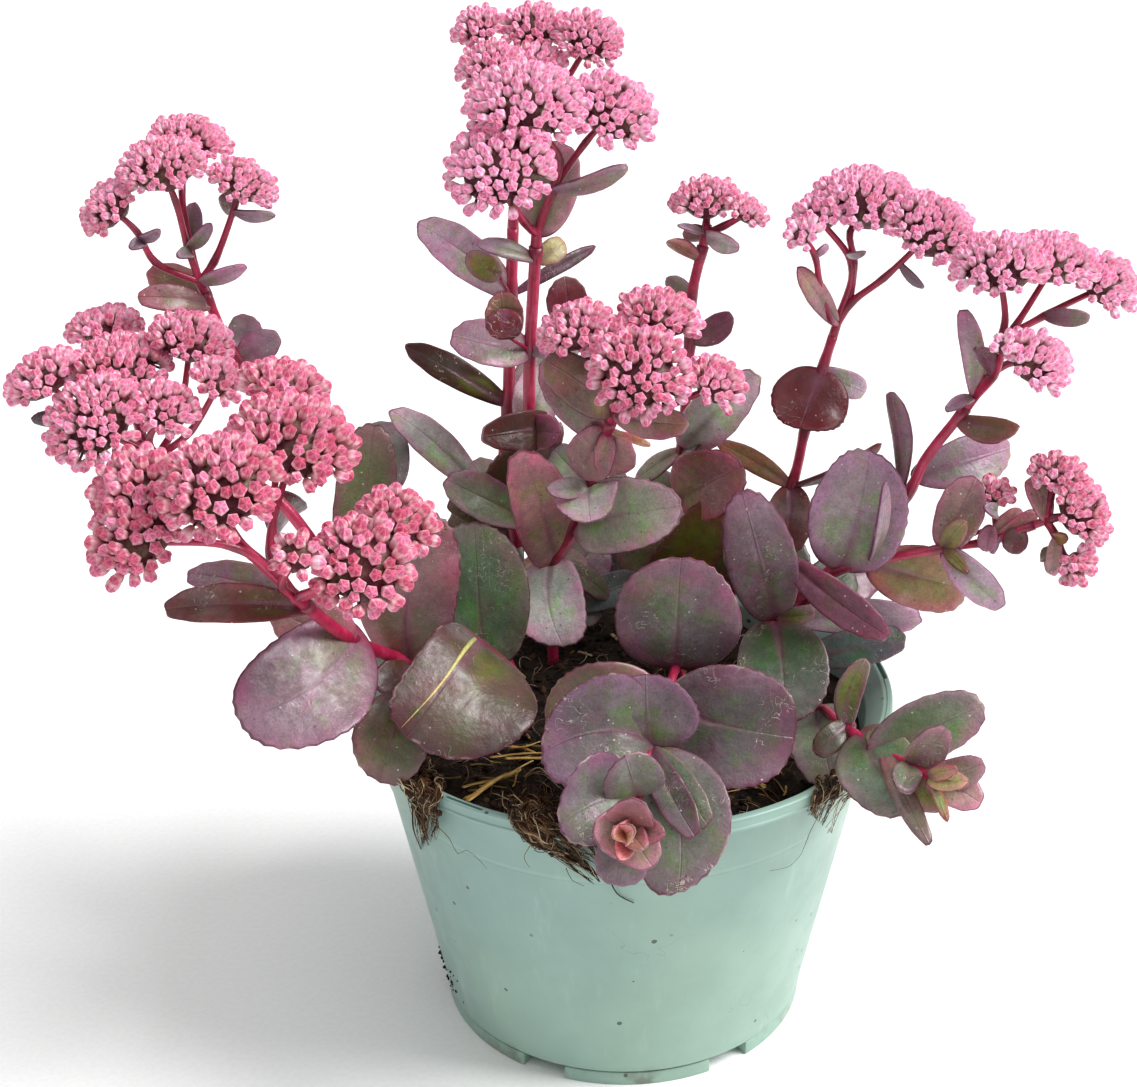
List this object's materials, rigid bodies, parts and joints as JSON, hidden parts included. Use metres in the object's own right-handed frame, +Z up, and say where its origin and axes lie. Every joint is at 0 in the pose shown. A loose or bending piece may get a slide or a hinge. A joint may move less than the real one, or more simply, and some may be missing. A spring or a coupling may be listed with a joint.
{
  "type": "potted jose aubergine sedum",
  "caption": "Potted sedum with thick mauve leaves, crimson stems and domed heads of closed pink buds, in a pale green nursery pot",
  "frame": {"origin": "the middle of the pot's underside, on the surface that it stands on", "axes": "Z points up along the pot's axis, -Y points to the viewer of the reference picture, and X points to the viewer's right"},
  "size_m": [0.3862, 0.2276, 0.3443],
  "materials": {
    "pot": "pale sage green polypropylene, satin, dusty",
    "soil": "moist dark peat with bark crumbs",
    "root": "dry matted root fibre",
    "straw": "dry golden straw",
    "foliage": "fleshy leaf with a pale waxy bloom over mauve and grey green",
    "bud": "closed pink buds with cream bases on dull red stalks"
  },
  "bodies": {
    "root": {"pot": "pot", "soil": "soil", "root_mat_left": "root", "root_mat_front": "root", "root_mat_right": "root", "straw_1": "straw", "straw_2": "straw", "straw_3": "straw", "shoot_a": "foliage", "shoot_b": "foliage", "shoot_c": "foliage", "shoot_d1": "foliage", "shoot_d2": "foliage", "shoot_e": "foliage", "shoot_f": "foliage", "shoot_g": "foliage", "shoot_h": "foliage", "shoot_i": "foliage", "shoot_j": "foliage", "shoot_k": "foliage", "shoot_l": "foliage", "head_a": "bud", "head_b": "bud", "head_c": "bud", "head_d1": "bud", "head_d2": "bud", "head_e": "bud", "head_f": "bud", "head_g": "bud", "head_h": "bud", "head_i": "bud"}
  },
  "joints": []
}
